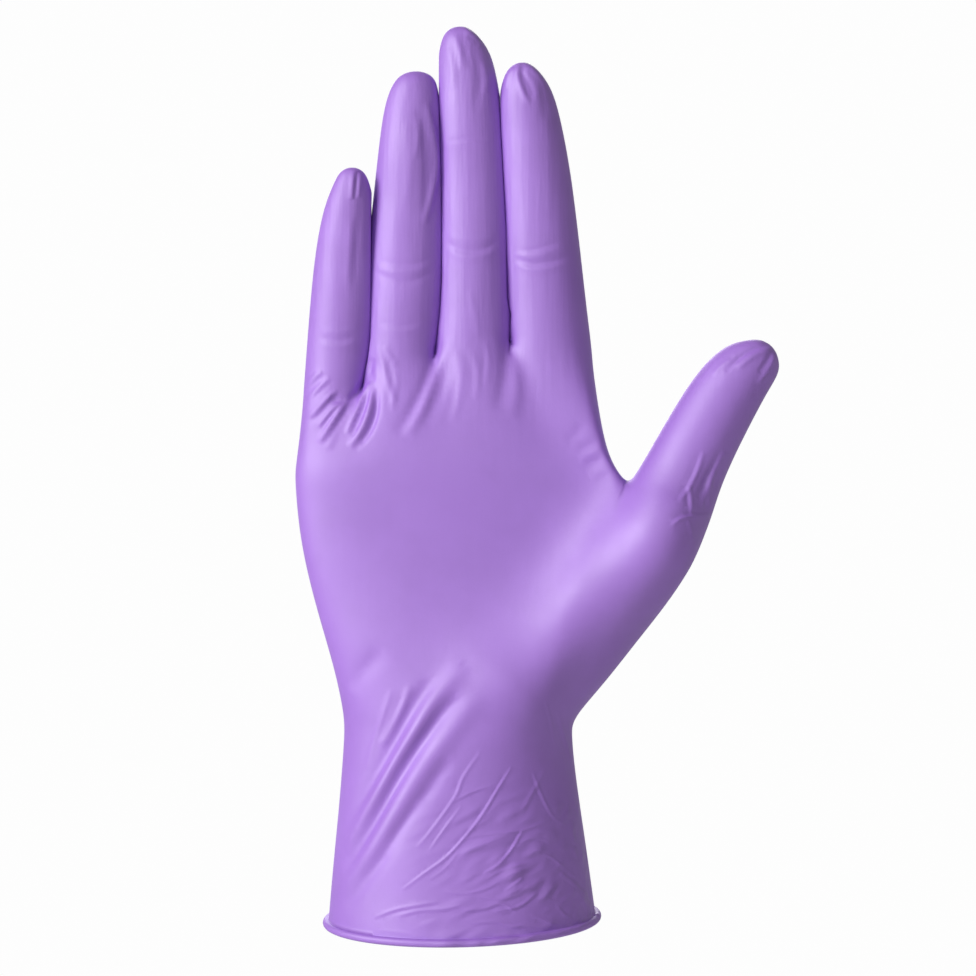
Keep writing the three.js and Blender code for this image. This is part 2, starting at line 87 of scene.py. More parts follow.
# Two rows between the thumb's crotch and the fingers' roots: how far up, left and right
KNUCKLE_ROWS = [(0.2, -44.5, 39.3), (0.5, -43.5, 37.0)]
# The film at the fingers' roots is at least this share as deep as the finger
LEAST_BULGE = 0.68

# Heights and places of the fingers' roots on their sides: the outer side, three crotches, the outer side
ROOTS = [(135.0, -42.3), (139.0, -26.5), (148.0, -7.4), (151.0, 12.5), (145.0, 34.9)]

# Each finger: depth, length, how far its tip comes forward, width, and its outlines as along, left, right
FINGERS = [
    (15.5, 62.0, 5.0, 15.8, [
        (0.05, -42.2, -24.8), (0.2, -41.5, -22.8), (0.42, -40.4, -22.5), (0.64, -38.9, -22.5),
        (0.81, -36.7, -22.8), (0.92, -34.2, -24.0), (0.985, -32.5, -25.3),
    ]),
    (17.5, 81.6, 2.5, 19.1, [
        (0.05, -27.1, -5.4), (0.2, -25.6, -4.1), (0.42, -25.4, -3.9), (0.64, -23.2, -4.2),
        (0.81, -21.6, -4.9), (0.92, -20.0, -5.9), (0.985, -17.5, -6.9),
    ]),
    (18.0, 87.7, 1.5, 19.9, [
        (0.05, -8.0, 14.1), (0.2, -7.0, 13.4), (0.42, -6.8, 13.0), (0.64, -7.1, 12.0),
        (0.81, -6.9, 9.7), (0.92, -6.4, 7.8), (0.985, -5.0, 3.8),
    ]),
    (18.0, 79.4, 3.0, 22.4, [
        (0.05, 11.2, 34.8), (0.2, 10.7, 33.2), (0.42, 10.1, 31.2), (0.64, 9.4, 28.9),
        (0.81, 9.4, 26.1), (0.92, 10.1, 23.8), (0.985, 11.7, 20.3),
    ]),
]

# The lines along which neighbouring fingers press against each other: height and place
CONTACTS = [
    [
        (139.0, -26.5), (144.4, -25.4), (148.4, -24.6), (152.4, -24.1), (170.0, -24.0), (188.0, -23.9),
        (196.0, -23.5),
    ],
    [
        (148.0, -7.4), (152.4, -6.6), (159.0, -5.8), (167.0, -5.3), (188.0, -5.3), (208.0, -5.8),
        (214.7, -6.1),
    ],
    [
        (151.0, 12.45), (159.0, 13.0), (163.0, 11.9), (183.0, 11.7), (197.0, 10.9), (207.0, 10.3),
        (214.7, 10.1),
    ],
]
# The gap left between two pressed fingers is twice this
CONTACT_GAP = 0.01

THUMB_LENGTH = 53.0
THUMB_WIDTH = 21.0
THUMB_DEPTH = 20.0
# Degrees from upright
THUMB_LEAN = 30.0
# How far in front of the middle plane the thumb's root and tip stand
THUMB_ROOT_FORWARD = 10.0
THUMB_TIP_FORWARD = 17.0
# The thumb's outlines: how far along, and its sides left and right of its line as shares of its width
THUMB_ROWS = [
    (0.1, -0.55, 0.54), (0.25, -0.555, 0.46), (0.42, -0.555, 0.41), (0.6, -0.55, 0.38),
    (0.77, -0.49, 0.36), (0.91, -0.36, 0.37), (0.985, -0.19, 0.26),
]
# How much lower the sides of a tip are than its middle, as a share of the finger's width, and how far
# along the finger that starts
TIP_CROWN = 0.13
CROWN_START = 0.8
# How deep a finger or the thumb is along its length, as shares of its depth
DEPTH_ALONG = ([0.0, 0.5, 0.75, 0.9, 1.0], [1.0, 0.95, 0.86, 0.66, 0.3])

# The cuff's edge leans to the side and to the front, and the lean fades up to the wrist
CUFF_LEAN_SIDE = math.radians(1.4)
CUFF_LEAN_FRONT = math.radians(6.5)
WRIST_HEIGHT = 48.0

# The rolled bead, how far it stands out from the film, and how many rows of faces go round it
BEAD_DIAMETER = 2.1
BEAD_STANDS_OUT = 1.5
BEAD_STEPS = 12
# The film is shown this thick
FILM_SHOWN = 1.0
# Keeps a length from being 0 where it divides
TINY = 1e-12

# The swell of the thumb's muscle on the palm: reach, rise, and the two ends of its line
THENAR_REACH = 15.0
THENAR_RISE = 7.0
THENAR_LINE = [(50.0, 98.0), (14.0, 62.0)]

# How often the net is subdivided for the outer and the inner face of the film
OUTER_LEVELS = 3
INNER_LEVELS = 2

# The mesh is finer along the folds. Edges are split in so many rounds, where they are longer than the
# wanted length times the slack. Within so many reaches of a fold's line, as many edges as given go to
# a reach.
PLAIN_EDGE = 4.0
FINEST_EDGE = 0.42
EDGES_PER_REACH = 1.45
FINE_REACHES = 2.3
EDGE_SLACK = 1.35
SPLIT_ROUNDS = 4
# Edges stay whole where their two normals, added up, point further back than this
FRONT_LIMIT = 0.3
# The share by which a new point is lifted towards the bow between its edge's two ends
BOW_SHARE = 0.25

# A fold is worked out within so many reaches of its line. Its dip lies so many reaches aside, and its
# rise fades to both ends by the root of a sine.
FOLD_REACHES = 3.2
DIP_ASIDE = 1.5
END_POWER = 0.5
# Folds fade where the film turns away from their side, and between two heights above the cuff's edge
TURN_FADE = 1.5
EDGE_FADE = (0.3, 3)

# The film's folds, seen from the camera's side. A fold stands out along its line by its rise, or sinks
# in where that is below 0, and fades over its reach to both sides. Dip is the share of the rise that is
# taken away beside it, on the line's right where it is above 0 and on its left below 0. Places are x
# and z on the glove's middle plane.
FRONT_FOLDS = [
    # reach, rise, dip, places
    # Slanting folds across the wrist
    (2.6, 1.3, 0, [
        (0.5, 66.5), (-3.7, 61.2), (-8.2, 55.4), (-13.0, 47.7), (-17.8, 40.0), (-23.3, 30.5),
        (-28.6, 22.0), (-31.5, 16.5),
    ]),
    (1.8, -1.3, 0, [
        (-0.5, 58.0), (-5.0, 53.8), (-9.5, 47.7), (-14.0, 41.1), (-18.6, 33.4), (-23.1, 25.2),
        (-27.6, 17.2), (-31.0, 10.5),
    ]),
    (2.8, 0.95, 0, [
        (4.5, 58.5), (-2.7, 48.5), (-8.5, 41.1), (-14.0, 33.1), (-19.3, 24.6), (-24.1, 17.2),
        (-29.2, 10.3), (-32.0, 5.0),
    ]),
    (1.8, -0.8, 0, [
        (-3.0, 41.5), (-9.8, 31.8), (-14.8, 24.6), (-20.1, 16.7), (-26.0, 8.7), (-30.5, 2.0),
    ]),
    (1.9, -1.0, 0, [
        (-8.0, 62.5), (-13.5, 53.8), (-17.8, 45.8), (-22.3, 37.4), (-27.0, 28.9), (-30.5, 21.5),
    ]),
    (1.1, 0.45, 0, [(-13.5, 60.7), (-15.9, 55.4), (-18.8, 49.6), (-21.7, 44.3)]),
    (0.9, -0.3, 0, [(-15.4, 58.6), (-17.8, 52.7), (-20.7, 46.4)]),
    (0.8, 0.25, 0, [(-18.6, 59.6), (-20.9, 53.0), (-23.3, 45.8), (-25.4, 38.4)]),
    (1.2, 0.3, 0, [(-9.8, 30.5), (-15.1, 22.5), (-20.4, 15.1)]),
    (2.4, -0.5, 0, [(-20.7, 69.7), (-25.4, 65.5), (-29.2, 59.6)]),
    # Fine creases of the cuff
    (0.43, 0.26, 0.5, [
        (13.2, 39.2), (9.3, 32.9), (5.6, 26.8), (1.6, 21.5), (-4.0, 15.4), (-10.1, 10.9), (-15.9, 6.6),
    ]),
    (0.52, 0.18, 0.4, [(5.0, 43.2), (0.5, 36.6), (-1.9, 31.0), (-7.7, 22.8), (-11.9, 17.8)]),
    (0.42, 0.14, 0.4, [(-2.1, 30.2), (2.9, 32.6), (8.0, 34.2)]),
    (0.42, 0.14, 0.4, [(1.1, 20.4), (8.7, 21.5), (15.9, 22.3), (22.3, 24.6)]),
    (0.42, 0.23, 0.5, [(16.2, 22.3), (12.7, 16.7), (9.3, 13.0), (5.6, 10.9)]),
    (0.42, 0.17, 0.4, [(16.2, 9.8), (14.0, 8.2), (11.4, 6.4)]),
    (0.42, 0.15, 0.4, [(0.0, 28.9), (-4.0, 23.6), (-8.5, 17.2)]),
    (0.49, 0.18, 0.5, [(-23.3, -0.8), (-17.8, 1.3), (-12.5, 2.4), (-6.1, 3.4)]),
    (0.56, 0.15, 0.4, [(-17.0, -0.3), (-11.1, 1.1), (-4.2, 1.6), (0.0, 2.7)]),
    (0.49, 0.19, 0.5, [(0.5, 1.1), (5.8, 1.6), (10.1, 2.9), (14.6, 0.8)]),
    (0.49, 0.21, 0.5, [(8.5, 0.8), (14.8, 2.1), (18.0, 4.2), (20.1, 6.1)]),
    (0.42, 0.15, 0.4, [(4.2, 4.8), (9.3, 4.2), (14.3, 5.0), (18.0, 7.7)]),
    (0.42, 0.14, 0.4, [(-4.8, 6.1), (0.5, 5.6), (6.4, 6.9), (10.6, 9.3)]),
    (0.63, 0.21, 0.6, [(-22.3, -4.2), (-16.2, -5.0), (-10.1, -6.4), (-1.3, -6.9), (7.4, -6.6)]),
    (0.56, 0.18, 0.5, [(2.1, -2.4), (8.5, -1.9), (15.4, -3.7), (20.7, -5.6), (23.9, -6.1)]),
    (0.56, 0.18, 0.5, [(10.1, -4.0), (15.9, -2.9), (22.8, -4.0), (27.6, -4.8)]),
    (0.49, 0.15, 0.5, [(18.0, 0.0), (22.8, -1.9), (27.6, -4.0)]),
    (0.49, 0.15, -0.5, [(24.9, 2.7), (27.6, -0.3), (32.3, -2.9)]),
    (0.49, 0.15, 0.5, [(26.0, 10.9), (29.7, 8.2), (33.4, 4.8)]),
    (0.42, 0.12, 0.4, [(21.7, 4.5), (25.4, 3.4), (29.2, 4.0)]),
    (0.42, 0.12, 0.4, [(19.6, 16.7), (23.9, 15.1), (27.6, 11.9), (30.7, 9.8)]),
    (0.49, 0.14, 0.4, [(18.8, 37.9), (21.2, 31.5), (24.1, 26.2), (27.6, 23.6)]),
    (0.56, 0.18, 0.5, [(25.4, 53.8), (26.8, 48.5), (28.4, 43.2), (29.9, 37.1)]),
    (0.49, 0.18, 0.5, [(28.1, 51.1), (29.4, 45.8), (30.7, 39.8)]),
    (0.42, 0.11, 0.4, [(22.0, 57.0), (23.6, 51.1), (24.6, 45.1)]),
    (0.42, 0.11, 0.3, [(15.4, 19.3), (19.6, 20.4), (23.3, 19.3)]),
    (0.42, 0.11, 0.3, [(6.4, 9.3), (10.1, 11.4), (14.3, 13.0), (18.6, 14.0)]),
    (0.63, 0.12, 0.3, [(15.4, 26.5), (19.1, 33.1), (22.0, 38.4)]),
    (0.42, 0.1, 0.3, [(-8.5, 9.3), (-4.2, 12.5), (-0.5, 17.2)]),
    # Gathers at the root of the little finger
    (1.1, -0.79, 0, [
        (-23.9, 147.6), (-24.9, 142.8), (-26.8, 139.4), (-29.2, 137.0), (-31.8, 136.2), (-35.0, 137.0),
    ]),
    (0.95, 0.61, -0.7, [(-29.4, 137.5), (-31.3, 135.4), (-33.7, 131.7), (-35.8, 128.3), (-37.9, 125.1)]),
    (0.85, 0.58, -0.7, [(-24.6, 143.9), (-25.7, 139.1), (-27.3, 134.6), (-28.9, 131.2), (-30.5, 127.5)]),
    (1, 0.72, -0.5, [(-24.4, 141.2), (-24.1, 136.5), (-25.4, 131.2), (-27.6, 126.9), (-29.9, 124.0)]),
    (0.9, -0.5, 0, [(-23.1, 138.6), (-22.8, 133.3), (-24.4, 128.5), (-27.0, 124.8)]),
    (0.8, 0.36, -0.7, [(-33.1, 139.1), (-35.8, 136.7), (-38.4, 133.8), (-40.8, 131.7)]),
    (0.7, 0.32, -0.7, [(-31.5, 136.7), (-33.9, 134.4), (-36.0, 132.0), (-38.2, 129.3)]),
    (0.8, 0.29, -0.5, [(-37.1, 144.2), (-39.2, 142.3), (-41.6, 139.7)]),
    (0.7, 0.22, -0.5, [(-35.0, 142.3), (-37.9, 139.7), (-40.8, 136.7)]),
    (1.3, 0.29, -0.3, [(-31.3, 133.3), (-34.2, 128.5), (-36.0, 123.2)]),
    # Folds at the roots of the other fingers
    (1.72, -0.63, 0, [(-5.3, 153.4), (-7.2, 146.5), (-10.1, 139.1), (-13.5, 132.8), (-17.2, 127.5)]),
    (1.55, 0.66, 0, [(-4.2, 152.9), (-6.1, 146.5), (-8.5, 139.7), (-11.1, 133.3), (-14.8, 126.9)]),
    (1.61, -0.28, 0, [(-3.2, 149.2), (-4.5, 142.3), (-6.9, 135.9), (-10.1, 129.6)]),
    (1.03, 0.28, -0.4, [(-22.5, 150.8), (-20.7, 145.5), (-19.3, 140.2), (-18.0, 135.4)]),
    (0.92, 0.21, -0.4, [(-20.7, 150.8), (-19.1, 147.6), (-17.0, 146.0)]),
    (0.92, 0.17, 0.4, [(-18.3, 146.5), (-17.5, 140.5), (-18.6, 133.3)]),
    (1.84, 0.35, 0, [(13.8, 149.2), (14.3, 143.9), (14.3, 137.5), (13.0, 131.2)]),
    (1.84, -0.49, 0, [(11.9, 155.0), (11.9, 147.6), (11.1, 140.7), (9.5, 133.8)]),
    (1.15, 0.17, 0.4, [(-1.6, 149.7), (-0.3, 143.9), (-0.8, 136.5), (-2.7, 130.1)]),
    (1.03, 0.14, 0.4, [(2.1, 150.3), (4.2, 143.9), (3.7, 136.5)]),
    (0.92, 0.14, 0.4, [(6.1, 152.4), (7.2, 146.5), (6.4, 140.2)]),
    # Creases at the joints of the fingers
    (0.8, -0.12, 0, [(-22.5, 173.6), (-17.8, 172.5), (-12.7, 172.5), (-6.6, 174.6)]),
    (1.03, 0.17, 0, [(-22.5, 171.5), (-17.0, 170.4), (-11.7, 170.9), (-6.9, 172.5)]),
    (0.8, -0.18, 0, [(-22.3, 169.9), (-18.6, 168.3), (-13.8, 167.7), (-7.7, 170.1)]),
    (0.92, -0.11, 0, [(-21.7, 157.1), (-16.4, 156.1), (-11.1, 157.1)]),
    (0.92, 0.11, 0, [(-21.7, 155.6), (-15.9, 154.5), (-10.1, 156.1)]),
    (0.92, 0.14, 0, [(-4.0, 179.9), (1.1, 179.1), (6.4, 179.4), (9.8, 181.0)]),
    (0.86, -0.22, 0, [(-4.0, 178.1), (-0.5, 176.2), (5.3, 176.2), (9.8, 178.6)]),
    (1.03, 0.17, 0, [(-3.7, 176.2), (0.0, 174.4), (5.3, 174.4), (9.5, 176.5)]),
    (0.69, -0.12, 0, [(-4.2, 204.8), (1.1, 205.6), (6.9, 205.4)]),
    (0.69, 0.11, 0, [(-4.2, 203.8), (1.1, 204.6), (6.9, 204.3)]),
    (0.69, -0.14, 0, [(13.5, 175.7), (18.6, 176.2), (22.8, 177.3), (26.0, 178.3)]),
    (1.03, 0.19, 0, [(13.8, 175.4), (19.1, 174.6), (24.4, 176.0), (29.2, 176.2)]),
    (0.86, -0.23, 0, [(14.0, 173.8), (18.0, 172.5), (22.8, 172.8), (28.9, 174.4)]),
    (1.03, 0.17, 0, [(14.3, 172.5), (18.6, 170.9), (23.9, 171.5), (28.6, 172.8)]),
    (0.92, 0.12, 0, [(-37.6, 155.0), (-32.3, 154.5), (-27.6, 155.6)]),
    (0.92, -0.14, 0, [(-37.9, 152.9), (-32.9, 152.1), (-27.8, 153.4)]),
    (0.92, 0.11, 0, [(-37.6, 151.3), (-32.3, 150.5), (-28.1, 151.6)]),
    # Folds of the tips and long sides
    (0.94, 0.45, 0.7, [(-9.8, 183.1), (-8.0, 190.3), (-6.6, 198.5), (-7.4, 206.7), (-9.3, 215.4)]),
    (1.32, -0.3, 0, [(-10.1, 185.8), (-9.3, 192.7), (-9.3, 200.1), (-10.1, 208.0), (-11.7, 213.9)]),
    (0.88, 0.19, 0, [(-12.5, 200.1), (-11.7, 205.4), (-11.7, 211.2)]),
    (1.21, 0.15, 0, [(-15.4, 186.8), (-14.0, 194.8), (-13.8, 202.7), (-14.6, 210.1)]),
    (0.83, 0.41, -0.7, [(-0.3, 235.3), (2.1, 233.7), (4.0, 231.9), (5.0, 230.0)]),
    (0.66, -0.3, 0, [(1.6, 232.9), (3.4, 232.1), (4.5, 230.3)]),
    (0.99, 0.3, -0.4, [(-1.9, 233.5), (-0.5, 228.7), (0.3, 223.9)]),
    (1.21, -0.3, 0, [(3.2, 230.8), (4.2, 225.0), (4.5, 219.2), (3.4, 212.8)]),
    (0.88, 0.22, 0, [(5.8, 226.0), (6.9, 221.8), (6.1, 217.6)]),
    (0.88, 0.19, 0, [(-3.4, 229.8), (-2.7, 224.5), (-2.4, 218.6)]),
    (0.77, 0.38, -0.6, [(15.1, 226.0), (14.8, 222.3), (15.9, 218.6), (17.8, 214.9)]),
    (0.77, 0.38, -0.5, [(15.9, 225.8), (18.8, 223.9), (20.9, 221.8), (22.5, 219.2)]),
    (0.77, -0.3, 0, [(15.4, 223.9), (17.2, 221.3), (19.1, 217.0)]),
    (0.66, 0.22, 0, [(13.2, 224.5), (11.9, 221.8), (11.4, 218.6)]),
    (1.1, -0.19, 0, [(20.7, 220.2), (22.0, 216.0), (22.3, 210.7)]),
    (0.77, 0.41, 0, [(-28.6, 197.4), (-28.9, 193.7), (-29.2, 189.5)]),
    (0.77, 0.38, 0, [(-27.0, 196.6), (-27.3, 193.5), (-27.6, 190.0)]),
    (0.61, -0.38, 0, [(-27.8, 196.9), (-28.1, 193.2), (-28.4, 189.5)]),
    (0.99, 0.19, 0, [(-29.4, 185.2), (-29.9, 176.8), (-30.2, 166.2)]),
    (0.99, -0.15, 0, [(-27.8, 185.2), (-28.1, 176.2), (-28.6, 166.7)]),
    (1.1, 0.15, 0, [(29.2, 202.7), (29.2, 194.2), (27.6, 185.8)]),
    (0.99, 0.15, 0, [(2.1, 165.6), (3.2, 159.8), (4.2, 153.4)]),
    # Folds of the thumb
    (0.68, -0.42, 0, [(81.4, 151.1), (78.2, 150.3), (75.3, 148.9), (72.6, 146.8), (70.0, 143.9)]),
    (0.81, 0.35, 0, [(81.9, 149.7), (78.4, 148.7), (75.8, 147.1), (73.1, 144.7)]),
    (0.63, 0.35, 0, [(83.2, 149.2), (82.2, 146.3), (80.6, 143.6), (78.4, 140.7)]),
    (0.63, -0.28, 0, [(82.2, 149.7), (80.8, 146.8), (78.7, 143.6)]),
    (0.54, -0.24, 0, [(65.5, 146.0), (64.1, 144.7), (62.8, 142.8)]),
    (0.72, 0.21, 0, [(71.3, 147.3), (68.9, 145.5), (66.5, 143.1)]),
    (0.72, 0.35, 0.6, [(69.7, 122.7), (66.8, 117.4), (64.9, 112.6), (63.6, 107.9)]),
    (0.72, 0.28, 0.6, [(64.1, 122.7), (62.3, 117.4), (60.2, 113.2), (57.5, 109.4)]),
    (0.63, 0.28, 0.5, [(60.2, 113.7), (60.7, 110.0), (61.0, 105.7)]),
    (0.72, 0.28, 0.5, [(66.0, 115.8), (65.5, 111.0), (66.0, 106.3)]),
    (0.63, 0.29, -0.6, [(55.4, 102.8), (57.8, 104.9), (61.0, 105.5), (65.5, 105.7)]),
    (0.63, 0.17, 0.4, [(59.9, 104.7), (60.7, 101.8), (61.2, 99.1)]),
    (0.81, -0.28, 0, [(67.6, 120.0), (64.7, 115.3), (62.3, 110.5)]),
    (0.72, 0.17, 0, [(69.4, 117.9), (67.3, 112.1), (66.2, 107.3)]),
    # Ripples of the thumb's web
    (1.5, -0.21, 0, [(32.3, 130.1), (30.2, 127.5), (27.6, 125.9)]),
    (1.3, -0.17, 0, [(36.6, 125.9), (33.4, 124.3), (30.7, 123.8)]),
    (1.2, -0.17, 0, [(37.6, 121.1), (35.0, 120.0), (31.8, 117.9)]),
    (1.1, 0.17, 0, [(37.1, 123.8), (34.2, 122.2), (31.0, 120.6)]),
    (1.1, 0.14, 0, [(39.8, 118.5), (36.6, 117.4), (33.9, 115.8)]),
    (1.3, -0.14, 0, [(47.2, 121.6), (50.4, 126.9), (53.5, 132.8)]),
]

# The same for the back of the hand, which the photograph does not show.
BACK_FOLDS = [
    # Knuckles
    (6.0, 0.9, 0, [(-33.0, 130.0), (-33.5, 142.0), (-33.0, 154.0)]),
    (6.5, 1.0, 0, [(-16.0, 133.0), (-15.5, 146.0), (-15.0, 159.0)]),
    (6.5, 1.1, 0, [(2.0, 136.0), (2.5, 149.0), (3.0, 162.0)]),
    (6.5, 1.0, 0, [(23.0, 134.0), (22.5, 147.0), (22.0, 160.0)]),
    # Slanting folds across the wrist
    (2.6, 0.7, 0, [(-27.0, 60.0), (-15.0, 53.5), (-1.0, 45.0), (15.0, 38.0)]),
    (2.2, -0.5, 0, [(-25.0, 52.5), (-12.0, 46.0), (2.0, 38.5), (16.0, 30.0)]),
    (2.6, 0.5, 0, [(30.0, 64.0), (18.0, 54.0), (8.0, 41.0), (2.0, 28.0)]),
    (2.4, 0.4, 0, [(-22.0, 30.0), (-8.0, 24.0), (8.0, 20.0), (22.0, 21.0)]),
]

def mix(a, b, share):
    return a + (b - a) * share


def smooth(x, low, high):
    t = np.clip((x - low) / (high - low), 0, 1)
    return t * t * (3 - 2 * t)


class Net:
    """The cage of four-sided faces that the smooth film is made from."""

    def __init__(self):
        self.points = []
        self.faces = []
        self.parts = []

    def ring(self, places):
        """Adds a front row and a back row of points from places of x, front, back and z."""
        first = len(self.points)
        self.points += [(x, front, z) for x, front, back, z in places]
        self.points += [(x, back, z) for x, front, back, z in places]
        count = len(places)
        return list(range(first, first + count)), list(range(first + count, first + 2 * count))

    def face(self, corners, part):
        self.faces.append(corners)
        self.parts.append(part)

    def join(self, low, high, part):
        """Faces from one ring to the next, on the front, the back and both ends."""
        (front_low, back_low), (front_high, back_high) = low, high
        for k in range(len(front_low) - 1):
            self.face((front_low[k], front_low[k + 1], front_high[k + 1], front_high[k]), part)
            self.face((back_low[k + 1], back_low[k], back_high[k], back_high[k + 1]), part)
        self.face((back_low[0], front_low[0], front_high[0], back_high[0]), part)
        self.face((front_low[-1], back_low[-1], back_high[-1], front_high[-1]), part)

    def close(self, ring, part):
        """Closes a tip with faces from the ring's front row to its back row."""
        front, back = ring
        for k in range(len(front) - 1):
            self.face((front[k], front[k + 1], back[k + 1], back[k]), part)


def part_of(ring, first, last):
    """The ring's front and back rows from the first place to the last one."""
    return ring[0][first:last + 1], ring[1][first:last + 1]


def column(k, columns, squareness=1.0):
    """How far across an oval section its place k stands, from 0 to 1, and how much it bulges there."""
    angle = math.pi * (k + 0.5) / (columns + 1)
    return (1 - math.cos(angle)) / 2, math.sin(angle) ** squareness


def finger_column(k):
    """The same for a finger, stretched so that its first and last places stand at 0 and 1."""
    across, bulge = column(k, FINGER_COLUMNS)
    end = column(0, FINGER_COLUMNS)[0]
    return (across - end) / (1 - 2 * end), bulge / (1 - 2 * end)


def trunk_place(row, k):
    """Place k of a cuff or palm row, which changes from one oval to a palm and a thumb's root."""
    z, left, right, front, back, drop, parted, web_front, web_back, root_forward = row
    oval_across, oval_bulge = column(k, TRUNK_COLUMNS)
    crotch = right - ROOT_WIDTH * math.cos(math.radians(THUMB_LEAN + ROOT_TURN))
    if k <= PALM_COLUMNS:
        across, bulge = column(k, PALM_COLUMNS, PALM_SQUARENESS)
        x = mix(left, crotch, across)
        at_web = float(smooth(k, WEB_START, PALM_COLUMNS))
        y_front = mix(-front * bulge, -web_front, at_web)
        y_back = mix(back * bulge, web_back, at_web)
    else:
        across, bulge = column(k - PALM_COLUMNS, FINGER_COLUMNS)
        x = mix(crotch, right, across)
        y_front = -root_forward - ROOT_HALF_DEPTH * bulge
        y_back = -root_forward + ROOT_HALF_DEPTH * bulge
    outward = max(0, k - PALM_COLUMNS) / FINGER_COLUMNS
    return (
        mix(mix(left, right, oval_across), x, parted),
        mix(-front * oval_bulge, y_front, parted),
        mix(back * oval_bulge, y_back, parted),
        z - drop * outward,
    )


def lean_cuff(net, ring, height):
    """Tilts a ring that is below the wrist."""
    lean = max(0.0, 1 - height / WRIST_HEIGHT)
    for i in ring[0] + ring[1]:
        x, y, z = net.points[i]
        z += lean * (x * math.tan(CUFF_LEAN_SIDE) + y * math.tan(CUFF_LEAN_FRONT))
        net.points[i] = (x, y, z)


def build_trunk(net):
    """The cuff, the palm and the thumb's root, up to the ring at the thumb's crotch."""
    below = None
    for row in TRUNK_ROWS:
        ring = net.ring([trunk_place(row, k) for k in range(TRUNK_COLUMNS + 1)])
        lean_cuff(net, ring, row[0])
        if below:
            net.join(below, ring, TRUNK)
        below = ring
    return below


def root_places():
    """The places of the ring at the fingers' roots, as x, front, back and z."""
    places = []
    for k in range(PALM_COLUMNS + 1):
        i = min(k // FINGER_COLUMNS, len(FINGERS) - 1)
        across, bulge = finger_column(k - i * FINGER_COLUMNS)
        half = FINGERS[i][0] / 2 * max(bulge, LEAST_BULGE)
        (low, left), (high, right) = ROOTS[i], ROOTS[i + 1]
        places.append((mix(left, right, across), -half, half, mix(low, high, across)))
    return places


def build_knuckles(net, palm):
    """The rows from the thumb's crotch to the ring at the fingers' roots."""
    places = root_places()
    below = palm
    for up, left, right in KNUCKLE_ROWS:
        row = []
        for k, (x, front, back, z) in enumerate(places):
            palm_front, palm_z = net.points[palm[0][k]][1:]
            palm_back = net.points[palm[1][k]][1]
            even = column(k, PALM_COLUMNS, PALM_SQUARENESS)[0]
            own = (x - places[0][0]) / (places[-1][0] - places[0][0])
            row.append((
                mix(left, right, mix(even, own, up)),
                mix(palm_front, front, up * up),
                mix(palm_back, back, up * up),
                mix(palm_z, z, up),
            ))
        ring = net.ring(row)
        net.join(below, ring, TRUNK)
        below = ring
    knuckles = net.ring(places)
    net.join(below, knuckles, TRUNK)
    return knuckles


def crown_drop(along, across, width):
    """How much lower a tip is at its sides than in its middle."""
    return TIP_CROWN * width * float(smooth(along, CROWN_START, 1)) * (2 * across - 1) ** 2


def build_finger(net, i, knuckles):
    depth, length, forward, width, rows = FINGERS[i]
    low, high = ROOTS[i][0], ROOTS[i + 1][0]
    tip = (low + high) / 2 + length
    below = part_of(knuckles, i * FINGER_COLUMNS, (i + 1) * FINGER_COLUMNS)
    for along, left, right in rows:
        half = depth / 2 * np.interp(along, *DEPTH_ALONG)
        y = -forward * along * along
        row = []
        for k in range(FINGER_COLUMNS + 1):
            across, bulge = finger_column(k)
            z = mix(mix(low, high, across), tip, along) - crown_drop(along, across, width)
            row.append((mix(left, right, across), y - half * bulge, y + half * bulge, z))
        ring = net.ring(row)
        net.join(below, ring, i)
        below = ring
    net.close(below, i)


def build_thumb(net, crotch_ring):
    lean = math.radians(THUMB_LEAN)
    below = part_of(crotch_ring, PALM_COLUMNS, TRUNK_COLUMNS)
    ends = [net.points[below[0][0]], net.points[below[0][-1]]]
    root_x = (ends[0][0] + ends[1][0]) / 2
    root_z = (ends[0][2] + ends[1][2]) / 2
    for along, left, right in THUMB_ROWS:
        half = THUMB_DEPTH / 2 * np.interp(along, *DEPTH_ALONG)
        y = -mix(THUMB_ROOT_FORWARD, THUMB_TIP_FORWARD, along)
        row = []
        for k in range(FINGER_COLUMNS + 1):
            across, bulge = finger_column(k)
            aside = mix(left, right, across) * THUMB_WIDTH
            far = along * THUMB_LENGTH - crown_drop(along, across, THUMB_WIDTH)
            x = root_x + far * math.sin(lean) + aside * math.cos(lean)
            z = root_z + far * math.cos(lean) - aside * math.sin(lean)
            row.append((x, y - half * bulge, y + half * bulge, z))
        ring = net.ring(row)
        net.join(below, ring, THUMB)
        below = ring
    net.close(below, THUMB)


def build_net():
    net = Net()
    crotch_ring = build_trunk(net)
    knuckles = build_knuckles(net, part_of(crotch_ring, 0, PALM_COLUMNS))
    for i in range(len(FINGERS)):
        build_finger(net, i, knuckles)
    build_thumb(net, crotch_ring)
    return net


def smooth_surface(net, levels):
    """The net's smooth surface as points and four-sided faces, and the part each face belongs to."""
    mesh = bpy.data.meshes.new("net")
    mesh.from_pydata(net.points, [], net.faces)
    mesh.attributes.new("part", "INT", "FACE").data.foreach_set("value", net.parts)
    holder = bpy.data.objects.new("net", mesh)
    bpy.context.scene.collection.objects.link(holder)
    modifier = holder.modifiers.new("smooth", "SUBSURF")
    modifier.levels = levels
    modifier.quality = 5
    seen = holder.evaluated_get(bpy.context.evaluated_depsgraph_get()).to_mesh()
    points = np.empty(len(seen.vertices) * 3)
    seen.vertices.foreach_get("co", points)
    faces = np.empty(len(seen.loops), dtype=np.int64)
    seen.loops.foreach_get("vertex_index", faces)
    parts = np.empty(len(seen.polygons), dtype=np.int64)
    seen.attributes["part"].data.foreach_get("value", parts)
    bpy.data.objects.remove(holder)
    bpy.data.meshes.remove(mesh)
    return points.reshape(-1, 3), faces.reshape(-1, 4), parts


